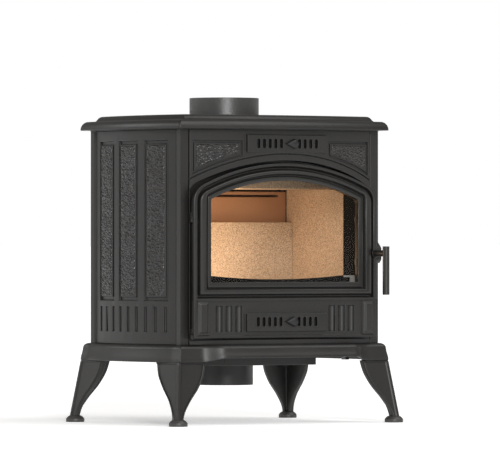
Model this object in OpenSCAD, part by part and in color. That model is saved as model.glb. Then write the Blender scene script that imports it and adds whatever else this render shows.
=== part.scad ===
// Free-standing wood burning stove: a body of bolted cast-iron plates on four cabriole legs,
// with an arched glazed door, a turning door handle and two sliding air shutters.
// X runs to the right as seen from the front, Y to the back and Z up.
// The origin lies on the floor, under the middle of the overall box.

/* [Body] */
// Width across the corner posts
body_w = 510; // [440:5:640]
// Depth across the corner posts
body_d = 354; // [320:2:460]
// Height of the side walls
body_h = 456; // [430:2:580]
// Thickness of the cast plates
wall = 9; // [8:0.5:11]
// How far the front bows forward at its middle
front_bow = 27; // [24:1:32]
// How far each side bows out at its middle
side_bow = 18; // [12:1:24]
// Width of the flat face of each corner post
post = 15; // [12:1:18]

/* [Legs] */
// Height of the legs, floor to plinth
leg_h = 134; // [110:2:170]
// How far each foot stands outside the posts, sideways
splay_x = 22.5; // [12:0.5:30]
// How far each foot stands outside the posts, front and back
splay_y = 27; // [14:0.5:34]
// Diameter of the foot discs
foot_d = 40; // [30:1:50]
// Height of the foot discs
foot_h = 14; // [10:1:18]

/* [Plinth and top] */
// Height of the plinth skirt
plinth_h = 37; // [34:1:50]
// How far the plinth and the top plate stand out beyond the posts at the sides
rim_x = 14; // [10:1:20]
// How far the plinth and the top plate stand out beyond the posts at front and back
rim_y = 20; // [12:1:24]
// Height of the top plate
top_h = 32; // [28:1:40]

/* [Flue and air] */
// Outside diameter of the flue collar
collar_d = 150; // [120:1:180]
// Height of the flue collar above the top plate
collar_h = 41; // [30:1:60]
// Wall of the flue collar
collar_wall = 5; // [4:0.5:8]
// Outside diameter of the air intake pipe
intake_d = 125; // [80:1:150]
// How far the intake pipe hangs below the air box
intake_drop = 45; // [30:1:60]
// Distance of the flue and intake axis behind the middle of the body
flue_y = 40; // [20:1:50]

/* [Door] */
// Radius of the arch on top of the door
arch_r = 504; // [420:2:640]
// Height of the solid lower part of the door
lower_panel_h = 80; // [76:1:96]
// Thickness of the door glass
glass_t = 4; // [3:0.5:5]
// Largest opening angle of the door
door_angle = 110; // [90:5:110]
// Length of the handle grip
grip_len = 104; // [80:2:130]
// Diameter of the handle grip
grip_d = 15; // [13:0.5:20]

/* [Air shutters] */
// Number of air slots on each side of the middle
slot_count = 5; // [3:1:5]
// Distance between air slots
slot_pitch = 14.5; // [14:0.25:16]
// Height of the air slots
slot_h = 20; // [14:1:22]

/* [Side panels] */
// Number of textured panels on each side wall
panel_count = 3; // [2:1:4]
// Width of the groove around each textured panel
groove_w = 7.5; // [5:0.5:9]
// Number of flutes below the panels
flute_count = 9; // [5:2:13]

/* [Fits] */
// Running clearance of pins and shafts, on the radius
run_gap = 0.05; // [0.03:0.01:0.1]
// Free clearance round bolts, glass and sliding plates
free_gap = 0.4; // [0.3:0.1:0.6]

/* [Hidden] */
$fn = 64;

// Heights of the main seams
body_z0 = leg_h + plinth_h;
body_z1 = body_z0 + body_h;
top_z1 = body_z1 + top_h;
hw = body_w / 2;
hd = body_d / 2;

// Corner posts: a flat face each way, a deep bevel beside the door, a small one at the side
post_side = post + 5.5;
post_bevel_x = 2.5;
post_bevel_y = 5;
post_in_x = hw - post_side - post_bevel_x;
post_in_y = hd - post - post_bevel_y;

// Bowed faces are parts of big upright cylinders
front_chord = hw - post - 5;
front_r = (front_chord * front_chord + front_bow * front_bow) / (2 * front_bow);
side_chord = post_in_y - 10;
side_r = (side_chord * side_chord + side_bow * side_bow) / (2 * side_bow);

// Legs: height above the floor, reach of the outer ridge beyond the post, and face widths
leg_top_out = [rim_x - 1, rim_y - 5];
leg_foot_out = [splay_x + 5.5, splay_y + 8];
// share of the leg's height, width of the face across, width of the face along the side
leg_profile = [[1, 67, 86], [0.88, 66, 84], [0.76, 63, 80], [0.64, 57, 71], [0.52, 49, 60],
    [0.42, 40, 48], [0.33, 32, 38], [0.25, 26, 32], [0.18, 21, 27], [0.09, 16.5, 23.5], [0, 14.5, 22]];
leg_t = 9;
boss_r = 13;
lug = 20;
flange_up = 8;
flange_in = 24;
skirt_gap = [0.5, 1.5];
bolt_r = 5;
bolt_x = hw - 52;
bolt_y = hd - 50;
deck_t = 8;
deck_z = body_z0 - deck_t;

// Plinth and top plate outlines: flat corner blocks with a bowed middle between
block_x = 53;
sweep_x = 51;
side_block = 30;
skirt_t = 7;
arch_rise = 9;
apron_x = hw + rim_x - block_x;
plinth_step = 5;
lip_z = body_z1 + 2;
lip_h = 19;
lip_round = 5;
ledge_in = 19;
top_in = 30;

// Flue collar, air box and intake pipe
collar_r = collar_d / 2;
flange_w = 17;
shoulder = 1.5;
flange_t = 8;
top_deck_t = 10;
top_deck_z = top_z1 - top_deck_t;
intake_r = intake_d / 2;
neck_in = 0.8;
sheet = 3;
box_x = 118;
box_y0 = -hd + 37;
box_y1 = hd - 60;
box_h = 38;
box_z = deck_z - box_h;
intake_z = box_z - intake_drop;

// Door: the front plane of the posts is level 0 and levels count forwards from it
door_hw = hw - 19.5;
door_z0 = body_z0 + 14;
door_apex = body_z1 - 70.5;
door_gap = 6;
fillet_r = 40;
level_back = 3;
level_rim_back = 13.5;
level_rim = 24;
level_groove = 20;
level_band = 26.5;
level_step = 21;
level_lip = 18;
level_rebate = 15.2;
level_field = 21;
// insets of the door's frame lines at the sides, at the top and above the lower panel
rim_in = [9.5, 6.5, 4.7];
groove_in = [15.5, 15, 13];
band_in = [32, 23, 23.4];
step_in = [37.5, 29, 27.3];
lip_in = [46, 37, 38];
rebate_in = [39.5, 30.5, 31.5];
glass_in = [40, 31, 32];
panel_z1 = door_z0 + lower_panel_h;
rope_out = 22;
rope_w = 9;
rope_top = 18;
rope_low = 5;

// Hinge and latch, on the same levels
hinge_x = -door_hw + 5.5;
hinge_level = 11;
knuckle_r = 6;
knuckle_h = 12;
hinge_web = 4;
pin_r = 3;
hinge_z = [door_z0 + 8, door_z0 + 255];
latch_x = door_hw - 7.5;
latch_z = door_z0 + 179.4;
shaft_r = 5;
pawl_hub = 9;
pawl_reach = 12;
pawl_level = 7.5;
pawl_t = 5;
arm_r = 8.5;
arm_level = 29;
grip_level = 68;
core_r = 4;
grip_hub = grip_d / 2 + 2;
grip_up = 15;

// Air shutters: a fixed slotted face with a sliding plate behind it
slot_w = 7;
slot_first = 16;
shutter_travel = slot_pitch / 2;
shutter_x = slot_first + slot_pitch * (slot_count - 1) + slot_w / 2 + 6.5;
pocket_x = shutter_x + shutter_travel + 1.5;
housing_x = pocket_x + 10;
housing_z = 37;
plate_z = 28;
plate_t = 2.5;
upper_z = body_z1 - 29;
lower_z = door_z0 + 34;
knob_r = 10;
knob_t = 7;
stem_r = 2.5;
upper_level = front_bow + 2;
lower_level = 27;
face_t = 7;

// Corner panels of the front
corner_in = housing_x + 8;
corner_out = hw - 29;
corner_z1 = body_z1 - 23;
corner_arch = 26;
corner_groove = 4.5;
carve = 4;

// Side wall relief
panel_z0 = body_z0 + 93;
panel_top = body_z1 - 23;
groove_d = 5;
panel_pitch = (2 * side_chord - 4) / panel_count;
flute_z0 = body_z0 + 27;
flute_z1 = body_z0 + 80;
flute_w = 9.5;
flute_pitch = (2 * side_chord - 10) / flute_count;

// Firebox
bed_z = body_z0 + 81;
bed_t = 10;
brick_z0 = bed_z + bed_t;
brick_top = body_z1 - 124;
brick_t = 25;
brick_x = hw - 40;
brick_y0 = -hd + 71;
brick_y1 = hd - 84;
back_top = body_z1 - 195;
frame_open_x = door_hw - 35.5;
frame_open_z0 = door_z0 + 15;
frame_open_top = door_apex - 33;
tie_x = post_in_x - 5;
tie_y = post_in_y - 5;
tie_r = 4;
grate_x = 120;
grate_y0 = -hd + 57;
grate_y1 = hd - 117;
pan_x = 108;
pan_y0 = -hd + 25;
pan_y1 = hd - 117;
pan_z0 = frame_open_z0 + 3;
pan_z1 = bed_z - 8;
floor_t = 8;

// The handle reaches further forward than the feet, so the body stands a little back
reach_front = hd + grip_level + grip_d / 2;
reach_back = hd + splay_y + foot_d / 2;
y_shift = (reach_front - reach_back) / 2;

// ---------- helpers ----------

module centred() translate([0, y_shift, 0]) children();

// Extrudes an upright outline (x, z) forwards between two levels
module facing(level0, level1)
    translate([0, -hd - level0, 0]) rotate([90, 0, 0]) linear_extrude(level1 - level0) children();

// Extrudes an upright outline (y, z) to the right between two levels of the right side
module siding(level0, level1)
    translate([hw + level0, 0, 0]) rotate([90, 0, 90]) linear_extrude(level1 - level0) children();

module span(x0, x1, z0, z1) translate([x0, z0]) square([x1 - x0, z1 - z0]);

module block(p, q) translate(p) cube(q - p);

module upright(r, z0, z1) translate([0, 0, z0]) cylinder(r = r, h = z1 - z0);

// Solid behind the bowed front face, set back by d
module behind_front(d) translate([0, front_r - hd - front_bow, 0])
    cylinder(r = front_r - d, h = 2 * body_z1, $fn = 480);

// Solid inside the bowed right side face, set back by d
module behind_side(d) translate([hw + side_bow - side_r, 0, 0])
    cylinder(r = side_r - d, h = 2 * body_z1, $fn = 360);

module left_and_right() for (s = [0, 1]) mirror([s, 0, 0]) children();

module four_corners() for (s = [0, 1], t = [0, 1]) mirror([s, 0, 0]) mirror([0, t, 0]) children();

function arc(cx, cz, r, a0, a1, n) = [for (i = [0:n]) let (a = a0 + (a1 - a0) * i / n)
    [cx + r * cos(a), cz + r * sin(a)]];

// Arch-topped outline: half width, foot height, crown height, crown radius, corner radius
function arch_points(w, z0, apex, r, fillet) =
    let (zc = apex - r, fx = w - fillet,
        fz = zc + sqrt((r - fillet) * (r - fillet) - fx * fx),
        a = atan2(fz - zc, fx))
    concat([[w, z0]], arc(fx, fz, fillet, 0, a - 1, 4), arc(0, zc, r, a, 180 - a, 24),
        arc(-fx, fz, fillet, 181 - a, 180, 4), [[-w, z0]]);

// Outline of the glazed part of the door, set in by [side, top, bottom]
module glazed(in)
    polygon(arch_points(door_hw - in[0], panel_z1 + in[2], door_apex - in[1], arch_r - in[1],
        max(fillet_r - in[0], 6)));

// Outline of the whole door, set in by a distance at the sides, at the top and at the bottom
module door_outline(side, top, low)
    polygon(arch_points(door_hw - side, door_z0 + low, door_apex - top, arch_r - top,
        max(fillet_r - side, 6)));

// Plan outline of the plinth and of the top plate, set in by d
function sweep(t) = (1 - cos(180 * max(0, min(1, t)))) / 2;
function rim_front(x, d) = -(hd + rim_y - d) - front_bow * sweep((apron_x - abs(x)) / sweep_x);
function rim_side(y, d) = hw + rim_x - d
    + side_bow * max(0, 1 - pow(y / (hd + rim_y - side_block), 2));
function rim_plan(d) =
    let (fx = hw + rim_x - d, fy = hd + rim_y - d, n = 24, m = 16)
    concat([for (i = [0:n]) let (x = fx * (2 * i / n - 1)) [x, rim_front(x, d)]],
        [for (i = [1:m - 1]) let (y = fy * (2 * i / m - 1)) [rim_side(y, d), y]],
        [[fx, fy], [-fx, fy]],
        [for (i = [1:m - 1]) let (y = fy * (1 - 2 * i / m)) [-rim_side(y, d), y]]);
module rim_slab(d, z0, z1) translate([0, 0, z0]) linear_extrude(z1 - z0) polygon(rim_plan(d));

// Plan of the top plate, set in by d: straight at the back and bowed on the other three sides
module top_slab(d, z0, z1) {
    fx = hw + rim_x - d;
    fy = hd + rim_y - d;
    bow_front = (fx * fx + front_bow * front_bow) / (2 * front_bow);
    bow_side = (fy * fy + side_bow * side_bow) / (2 * side_bow);
    intersection() {
        block([-fx - side_bow, -fy - front_bow, z0], [fx + side_bow, fy, z1]);
        translate([0, bow_front - fy - front_bow, 0]) cylinder(r = bow_front, h = 2 * body_z1, $fn = 480);
        translate([fx + side_bow - bow_side, 0, 0]) cylinder(r = bow_side, h = 2 * body_z1, $fn = 360);
        translate([bow_side - fx - side_bow, 0, 0]) cylinder(r = bow_side, h = 2 * body_z1, $fn = 360);
    }
}

// ---------- legs and plinth ----------

// Rings of an L-shaped section swept down the leg, for the corner at +X, +Y
function leg_ring(p) =
    let (out = leg_foot_out + (leg_top_out - leg_foot_out) * p[0],
        x = hw + out[0], y = hd + out[1], z = foot_h + (leg_h - foot_h) * p[0],
        wx = p[1], wy = p[2], t = leg_t)
    [[x, y, z], [x - wx, y, z], [x - wx, y - t, z], [x - t, y - t, z], [x - t, y - wy, z], [x, y - wy, z]];

module leg_shell() {
    rings = [for (p = leg_profile) leg_ring(p)];
    n = len(rings);
    points = [for (ring = rings, p = ring) p];
    sides = [for (i = [0:n - 2], j = [0:5], half = [0, 1]) let (a = 6 * i + j, b = 6 * i + (j + 1) % 6)
        half == 0 ? [a, b, b + 6] : [a, b + 6, a + 6]];
    caps = [[0, 3, 2], [0, 2, 1], [0, 5, 4], [0, 4, 3]];
    foot = [for (c = caps) [for (i = [2:-1:0]) c[i] + 6 * (n - 1)]];
    polyhedron(points, concat(sides, caps, foot), convexity = 6);
}

module leg(sx, sy) {
    arms = [hw + leg_top_out[0] - leg_t, hd + leg_top_out[1] - leg_t];
    skirt = [hw + rim_x - skirt_t - plinth_step, hd + rim_y - skirt_t - plinth_step] - skirt_gap;
    mirror([sx < 0 ? 1 : 0, 0, 0]) mirror([0, sy < 0 ? 1 : 0, 0]) difference() {
        union() {
            leg_shell();
            // lug in the corner of the arms, up to the flange inside the skirt
            block([arms[0] - lug, arms[1] - lug, leg_h - lug],
                [arms[0] + leg_t / 3, arms[1] + leg_t / 3, leg_h]);
            block([arms[0] - lug, arms[1] - lug, leg_h - 1], [skirt[0], skirt[1], leg_h + flange_up + 1]);
            block([bolt_x - flange_in, bolt_y - flange_in, leg_h + flange_up],
                [skirt[0], skirt[1], leg_h + flange_up + leg_t]);
            translate([bolt_x, bolt_y, 0]) upright(boss_r, leg_h + flange_up + 1, deck_z);
        }
        translate([bolt_x, bolt_y, 0]) upright(bolt_r + free_gap, leg_h, deck_z + 1);
    }
}

module leg_front_left() color("#3e3e3d") centred() leg(-1, -1);
module leg_front_right() color("#3e3e3d") centred() leg(1, -1);
module leg_rear_left() color("#3e3e3d") centred() leg(-1, 1);
module leg_rear_right() color("#3e3e3d") centred() leg(1, 1);

module foot_discs() color("#333333") centred() four_corners()
    translate([hw + splay_x, hd + splay_y, 0]) upright(foot_d / 2, 0, foot_h);

module leg_bolts() color("#77777a") centred() four_corners() translate([bolt_x, bolt_y, 0]) {
    upright(bolt_r, leg_h + flange_up - 0.5, deck_z + deck_t - 1);
    translate([0, 0, leg_h + flange_up - 7]) cylinder(r = 9, h = 7, $fn = 6);
}

module plinth() color("#3c3c3b") centred() difference() {
    union() {
        rim_slab(0, leg_h, body_z0 - 12);
        rim_slab(plinth_step, body_z0 - 12, body_z0);
    }
    // hollow behind the skirt
    rim_slab(skirt_t + plinth_step, leg_h - 1, deck_z);
    // opening of the deck above the air box
    block([-box_x + 20, box_y0 + 20, deck_z - 1], [box_x - 20, box_y1 - 20, body_z0 + 1]);
    // the lower edge of the front skirt is raised between the corner blocks
    facing(0, rim_y + front_bow + 10) polygon(concat(
        [for (i = [0:8]) [-apron_x + sweep_x * i / 8, leg_h + arch_rise * sweep(i / 8)]],
        [for (i = [0:8]) [apron_x - sweep_x + sweep_x * i / 8, leg_h + arch_rise * sweep(1 - i / 8)]],
        [[apron_x, leg_h - 1], [-apron_x, leg_h - 1]]));
    // holes for the leg bolts and the tie rods
    four_corners() translate([bolt_x, bolt_y, 0]) upright(bolt_r + free_gap, deck_z - 1, body_z0 + 1);
    four_corners() translate([tie_x, tie_y, 0]) upright(tie_r + free_gap, deck_z - 1, body_z0 + 1);
}

module bottom_plate() color("#3a3a3a") centred() difference() {
    block([-post_in_x, -post_in_y, body_z0], [post_in_x, post_in_y, body_z0 + floor_t]);
    translate([0, flue_y, 0]) upright(intake_r - 12, body_z0 - 1, body_z0 + floor_t + 1);
    four_corners() translate([tie_x, tie_y, 0])
        upright(tie_r + free_gap, body_z0 - 1, body_z0 + floor_t + 1);
}

module air_box() color("#2c2c2c") centred() difference() {
    block([-box_x, box_y0, box_z], [box_x, box_y1, deck_z]);
    block([-box_x + sheet, box_y0 + sheet, box_z + sheet], [box_x - sheet, box_y1 - sheet, deck_z + 1]);
    translate([0, flue_y, 0]) upright(intake_r - neck_in + free_gap, box_z - 1, box_z + sheet + 1);
}

module air_intake_pipe() color("#2a2a2a") centred() translate([0, flue_y, 0]) difference() {
    union() {
        upright(intake_r, intake_z, box_z);
        upright(intake_r - neck_in, box_z - 1, box_z + sheet + 1);
        upright(intake_r + 9, box_z + sheet, box_z + sheet + 2);
    }
    upright(intake_r - 2, intake_z - 1, box_z + sheet + 3);
}

// ---------- walls ----------

module corner_posts() color("#434342") centred() four_corners()
    translate([0, 0, body_z0]) linear_extrude(body_h)
        polygon([[hw, hd], [hw - post_side, hd], [post_in_x, hd - post_bevel_x], [post_in_x, post_in_y],
            [hw - post_bevel_y, post_in_y], [hw, hd - post]]);

module side_plate() difference() {
    intersection() {
        difference() {
            behind_side(0);
            behind_side(wall);
        }
        block([0, -post_in_y, body_z0], [2 * hw, post_in_y, body_z1]);
    }
    // grooves round the textured panels, and the flutes below them
    difference() {
        siding(-40, side_bow + 10) {
            for (i = [0:panel_count - 1]) {
                y = (i - (panel_count - 1) / 2) * panel_pitch;
                half = panel_pitch / 2 - 11;
                difference() {
                    span(y - half, y + half, panel_z0, panel_top);
                    span(y - half + groove_w, y + half - groove_w, panel_z0 + groove_w, panel_top - groove_w);
                }
            }
            for (i = [0:flute_count - 1]) {
                y = (i - (flute_count - 1) / 2) * flute_pitch;
                span(y - flute_w / 2, y + flute_w / 2, flute_z0, flute_z1);
            }
        }
        behind_side(groove_d);
    }
}

module left_side_plate() color("#3a3935") centred() mirror([1, 0, 0]) side_plate();
module right_side_plate() color("#3a3935") centred() side_plate();

module back_plate() color("#383838") centred() difference() {
    block([-post_in_x, hd - wall, body_z0], [post_in_x, hd, body_z1]);
    // shallow panel between the ribs of the casting
    for (s = [-1, 1]) translate([s * post_in_x / 2, 0, 0])
        block([-post_in_x / 2 + 18, hd - 3, body_z0 + 24], [post_in_x / 2 - 18, hd + 1, body_z1 - 24]);
}

// One upright slot with round ends
module slot(x, z) {
    r = slot_w / 2;
    translate([x, z]) polygon(concat(arc(0, slot_h / 2 - r, r, 0, 180, 8),
        arc(0, r - slot_h / 2, r, 180, 360, 8)));
}

// Slots of an air shutter face, with the way for the knob's stem
module shutter_slots(z) {
    for (s = [-1, 1], i = [0:slot_count - 1]) slot(s * (slot_first + slot_pitch * i), z);
    span(slot_first - shutter_travel - stem_r - 1, slot_first + stem_r + 1,
        z - stem_r - 0.7, z + stem_r + 0.7);
}

// Pocket of an air shutter behind its face
module shutter_pocket(z) span(-pocket_x, pocket_x, z - plate_z / 2 - free_gap, z + plate_z / 2 + free_gap);

// One textured corner panel of the front, set in by d
module corner_panel(d) difference() {
    span(corner_in + d, corner_out - d, body_z0 + body_h / 2, corner_z1 - d);
    translate([0, door_apex - arch_r]) circle(r = arch_r + corner_arch + d, $fn = 240);
}

// Thin line between the arch and the corner panels
module arch_groove() intersection() {
    translate([0, door_apex - arch_r]) difference() {
        circle(r = arch_r + corner_arch - 5, $fn = 240);
        circle(r = arch_r + corner_arch - 7.5, $fn = 240);
    }
    span(-post_in_x, post_in_x, body_z0 + body_h / 2, body_z1);
}

module front_frame() color("#444444") centred() difference() {
    union() {
        // slab behind the door
        facing(-wall, 0) span(-post_in_x, post_in_x, body_z0, body_z1);
        // bowed face above and below the door
        intersection() {
            facing(-1, front_bow + 5) difference() {
                span(-post_in_x, post_in_x, body_z0, body_z1);
                polygon(arch_points(door_hw + 1.5, door_z0 - 4, door_apex + door_gap, arch_r + door_gap,
                    fillet_r));
            }
            behind_front(0);
        }
        facing(-1, upper_level) span(-housing_x, housing_x, upper_z - housing_z / 2, upper_z + housing_z / 2);
    }
    facing(-wall - 1, 1) polygon(arch_points(frame_open_x, frame_open_z0, frame_open_top,
        arch_r - 33, 12));
    // air shutter
    facing(-wall - 1, upper_level - face_t) shutter_pocket(upper_z);
    facing(0, upper_level + 1) shutter_slots(upper_z);
    // grooves round the textured corner panels, and one that follows the arch below them
    difference() {
        facing(-5, front_bow + 5) {
            left_and_right() difference() {
                corner_panel(0);
                corner_panel(corner_groove);
            }
            arch_groove();
        }
        behind_front(carve);
    }
}

// ---------- top ----------

module top_plate() color("#3b3b3a") centred() difference() {
    union() {
        top_slab(rim_y - 4, body_z1, lip_z);
        top_slab(0, lip_z, lip_z + lip_h - 2 * lip_round);
        top_slab(lip_round / 2, lip_z + lip_h - 2 * lip_round, lip_z + lip_h - lip_round);
        top_slab(lip_round, lip_z + lip_h - lip_round, lip_z + lip_h);
        top_slab(ledge_in + 6, lip_z + lip_h, lip_z + lip_h + 4);
        top_slab(top_in, lip_z + lip_h, top_z1);
    }
    block([-post_in_x, -post_in_y, body_z1 - 1], [post_in_x, post_in_y, top_deck_z]);
    translate([0, flue_y, 0]) upright(collar_r + shoulder + free_gap, body_z1, top_z1 + 1);
}

module flue_collar() color("#4c4c4c") centred() translate([0, flue_y, 0]) difference() {
    union() {
        upright(collar_r, top_z1 - 1, top_z1 + collar_h);
        upright(collar_r + shoulder, top_deck_z - 1, top_z1);
        upright(collar_r + flange_w, top_deck_z - flange_t, top_deck_z);
    }
    upright(collar_r - collar_wall, top_deck_z - flange_t - 1, top_z1 + collar_h + 1);
    for (a = [45:90:315]) rotate(a) translate([collar_r + flange_w / 2, 0, 0])
        upright(3 + free_gap, top_deck_z - flange_t - 1, top_deck_z + 1);
}

module collar_bolts() color("#77777a") centred() translate([0, flue_y, 0])
    for (a = [45:90:315]) rotate(a) translate([collar_r + flange_w / 2, 0, 0]) {
        upright(3, top_deck_z - flange_t - 1, top_deck_z);
        translate([0, 0, top_deck_z - flange_t - 5]) cylinder(r = 6, h = 5, $fn = 6);
    }

module tie_rods() color("#77777a") centred() four_corners() translate([tie_x, tie_y, 0])
    upright(tie_r, deck_z - 11, top_deck_z);

module tie_rod_nuts() color("#77777a") centred() four_corners() translate([tie_x, tie_y, deck_z - 7])
    difference() {
        cylinder(r = 7.5, h = 7, $fn = 6);
        translate([0, 0, -1]) cylinder(r = tie_r, h = 9);
    }

// ---------- hinge and latch on the body ----------

module at_hinge() translate([hinge_x, -hd - hinge_level, 0]) children();

module hinge_lugs() color("#3d3d3c") centred() for (z = hinge_z) difference() {
    union() {
        at_hinge() upright(knuckle_r, z - 10, z - 0.5);
        block([hinge_x - hinge_web, -hd - hinge_level, z - 10], [hinge_x + hinge_web, -hd, z - 0.5]);
    }
    at_hinge() upright(pin_r, z - 11, z);
}

module hinge_pins() color("#8a8a8c") centred() for (z = hinge_z)
    at_hinge() upright(pin_r, z - 10, z + knuckle_h + 1);

module latch_keeper() color("#40403f") centred() translate([0, 0, latch_z])
    translate([hw - 14, -hd, 0]) rotate([90, 0, 90]) linear_extrude(12)
        polygon([[0, -21], [-9, -21], [-16, -14], [-16, 12], [0, 27]]);

// ---------- air shutters ----------

module slider_plate(z, level) facing(level - face_t - 0.3 - plate_t, level - face_t - 0.3) difference() {
    span(-shutter_x, shutter_x, z - plate_z / 2, z + plate_z / 2);
    difference() {
        shutter_slots(z);
        span(slot_first - shutter_travel - 8, slot_first + 8, z - 6, z + 6);
    }
}

module air_knob(z, level) {
    facing(level + free_gap, level + free_gap + knob_t) {
        translate([slot_first, z]) circle(r = knob_r);
        polygon([[slot_first, z + 7.5], [slot_first, z - 7.5], [slot_first - 23, z]]);
    }
    facing(level - face_t - 0.3, level + 1) translate([slot_first, z]) circle(r = stem_r);
}

// Two bars across the ends of a pocket hold the sliding plate up to its face
module slider_guides(z, level) left_and_right()
    facing(level - face_t - 0.6 - plate_t - 3, level - face_t - 0.6 - plate_t)
        span(pocket_x - 14, pocket_x - 7, z - plate_z / 2 - free_gap, z + plate_z / 2 + free_gap);

module upper_air_slider() color("#2e2e2e") centred() slider_plate(upper_z, upper_level);
module upper_air_knob() color("#3c3c3c") centred() air_knob(upper_z, upper_level);
module upper_slider_guides() color("#303030") centred() slider_guides(upper_z, upper_level);
module lower_air_slider() color("#2e2e2e") centred() slider_plate(lower_z, lower_level);
module lower_air_knob() color("#3c3c3c") centred() air_knob(lower_z, lower_level);
module lower_slider_guides() color("#303030") centred() slider_guides(lower_z, lower_level);

// ---------- door ----------

pilaster_x0 = door_hw - 38.5;
pilaster_x1 = door_hw - 7.5;
pilaster_slope = 8;
level_pilaster = 28;
flute_r = 9;
flute_in = housing_x + 17;
flute_step = 25;

// Raised block with sloping sides at each end of the lower panel
module pilaster() hull() {
    facing(level_field - 1, level_field) span(pilaster_x0, pilaster_x1, door_z0 + 6, panel_z1 - 1);
    facing(level_field, level_pilaster) span(pilaster_x0 + pilaster_slope, pilaster_x1 - pilaster_slope,
        door_z0 + 6 + pilaster_slope, panel_z1 - 1 - pilaster_slope);
}

module door_casting() color("#444444") centred() difference() {
    union() {
        facing(level_rim_back, level_field) door_outline(0, 0, 0);
        facing(level_back, level_rim) door_outline(rim_in[0], rim_in[1], 5);
        // rim line round the whole door
        facing(level_field - 1, level_rim) difference() {
            door_outline(0, 0, 0);
            door_outline(rim_in[0], rim_in[1], 5);
        }
        facing(level_field, level_rim) difference() {
            glazed([0, 0, 0]);
            glazed(rim_in);
        }
        facing(level_groove - 1, level_band) difference() {
            glazed(groove_in);
            glazed(band_in);
        }
        // pilasters and the shutter's plate on the lower panel
        left_and_right() pilaster();
        facing(level_field - 1, lower_level)
            span(-housing_x, housing_x, lower_z - housing_z / 2 - 2, lower_z + housing_z / 2 - 1);
        // hinge knuckles
        for (z = hinge_z) at_hinge() {
            upright(knuckle_r, z, z + knuckle_h);
            block([0, -4, z], [8, 4, z + knuckle_h]);
        }
        // boss round the handle shaft
        facing(level_rim - 1, arm_level - 1) translate([latch_x, latch_z]) circle(r = 7.4);
    }
    // field of the lower panel
    facing(level_field, level_rim + 0.01) difference() {
        span(-door_hw + rim_in[0], door_hw - rim_in[0], door_z0 + 5, panel_z1);
        left_and_right() span(pilaster_x0, pilaster_x1, door_z0 + 6, panel_z1 - 1);
        span(-housing_x, housing_x, lower_z - housing_z / 2 - 2, lower_z + housing_z / 2 - 1);
    }
    // groove, step and glass opening of the glazed part
    facing(level_groove, level_band + 1) difference() {
        glazed(rim_in);
        glazed(groove_in);
    }
    facing(level_step, level_band + 1) glazed(band_in);
    facing(level_lip, level_band + 1) glazed(step_in);
    facing(0, level_band + 1) glazed(lip_in);
    facing(0, level_rebate) glazed(rebate_in);
    // channel of the rope seal
    facing(0, level_back + rope_w - 2) difference() {
        door_outline(rope_out, rope_top, rope_low);
        door_outline(rope_out + rope_w, rope_top + rope_w, rope_low + rope_w);
    }
    // flutes beside the shutter
    left_and_right() for (i = [0:2]) if (flute_in + flute_step * i + flute_r < pilaster_x0 - 2)
        translate([flute_in + flute_step * i, -hd - level_field - 2, 0])
            upright(flute_r, door_z0 + 13, panel_z1 - 12);
    // shutter
    facing(0, lower_level - face_t) shutter_pocket(lower_z);
    facing(level_back, lower_level + 1) shutter_slots(lower_z);
    // room for the fixed hinge lugs, and the bores of the knuckles
    for (z = hinge_z) {
        facing(-1, 18.5) span(-door_hw - 2, hinge_x + 6.5, z - 13, z - 0.01);
        facing(-1, 18.5) span(-door_hw - 2, hinge_x - 5, z - 13, z + knuckle_h + 2);
        at_hinge() upright(pin_r + run_gap, z - 1, z + knuckle_h + 3);
    }
    // room for the pawl behind the rim, and the shaft's bore
    facing(-1, level_rim_back) translate([latch_x, latch_z]) circle(r = pawl_reach + 1.5);
    facing(-1, arm_level) translate([latch_x, latch_z]) circle(r = shaft_r + run_gap);
}

module door_glass() color([0.75, 0.8, 0.8, 0.35]) centred()
    facing(level_rebate - 1.2 - glass_t, level_rebate - 1.2) glazed(glass_in);

module glass_gasket() color("#8d8a80") centred() facing(level_rebate - 1.2, level_rebate) difference() {
    glazed(glass_in);
    glazed(lip_in - [0.5, 0.5, 0.5]);
}

module clip_places() {
    clip_x = door_hw - rebate_in[0];
    clip_z = panel_z1 + rebate_in[2];
    for (s = [-1, 1], z = [clip_z + 50, clip_z + 140])
        translate([s * clip_x, z]) rotate(s < 0 ? 180 : 0) children();
    for (s = [-1, 1]) translate([s * 90, clip_z]) rotate(-90) children();
}

module glass_clips() color("#6a6a6c") centred()
    facing(level_back, level_rebate - 1.2 - glass_t - 0.2) clip_places()
        translate([-5, -7]) square([4.6, 14]);

module clip_screws() color("#8a8a8c") centred() facing(level_back - 2, level_back) clip_places()
    translate([-2.7, 0]) circle(r = 2.3);

module door_rope_seal() color("#55524c") centred() facing(free_gap, level_back + rope_w - 2) difference() {
    door_outline(rope_out, rope_top, rope_low);
    door_outline(rope_out + rope_w, rope_top + rope_w, rope_low + rope_w);
}

// ---------- handle ----------

module at_grip() translate([latch_x, -hd - grip_level, 0]) children();

module door_handle() color("#3a3a3a") centred() {
    facing(3.5, arm_level + 1) translate([latch_x, latch_z]) circle(r = shaft_r);
    facing(arm_level, grip_level) translate([latch_x, latch_z]) circle(r = arm_r);
    at_grip() upright(core_r, latch_z + grip_up - grip_len + 3, latch_z + grip_up - 3);
    at_grip() upright(grip_hub, latch_z - arm_r - 1.5, latch_z + arm_r + 1.5);
}

module handle_grip() color("#2f2f2f") centred() at_grip() {
    z0 = latch_z + grip_up - grip_len;
    z1 = latch_z - arm_r - 1.5;
    z2 = latch_z + arm_r + 1.5;
    r = grip_d / 2;
    difference() {
        union() {
            upright(r, z0 + 4, z1);
            upright(r - 1.5, z0, z0 + 4);
        }
        upright(core_r, z0 + 3, z1 + 1);
    }
    difference() {
        upright(r - 1, z2, latch_z + grip_up);
        upright(core_r, z2 - 1, latch_z + grip_up - 3);
    }
}

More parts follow.
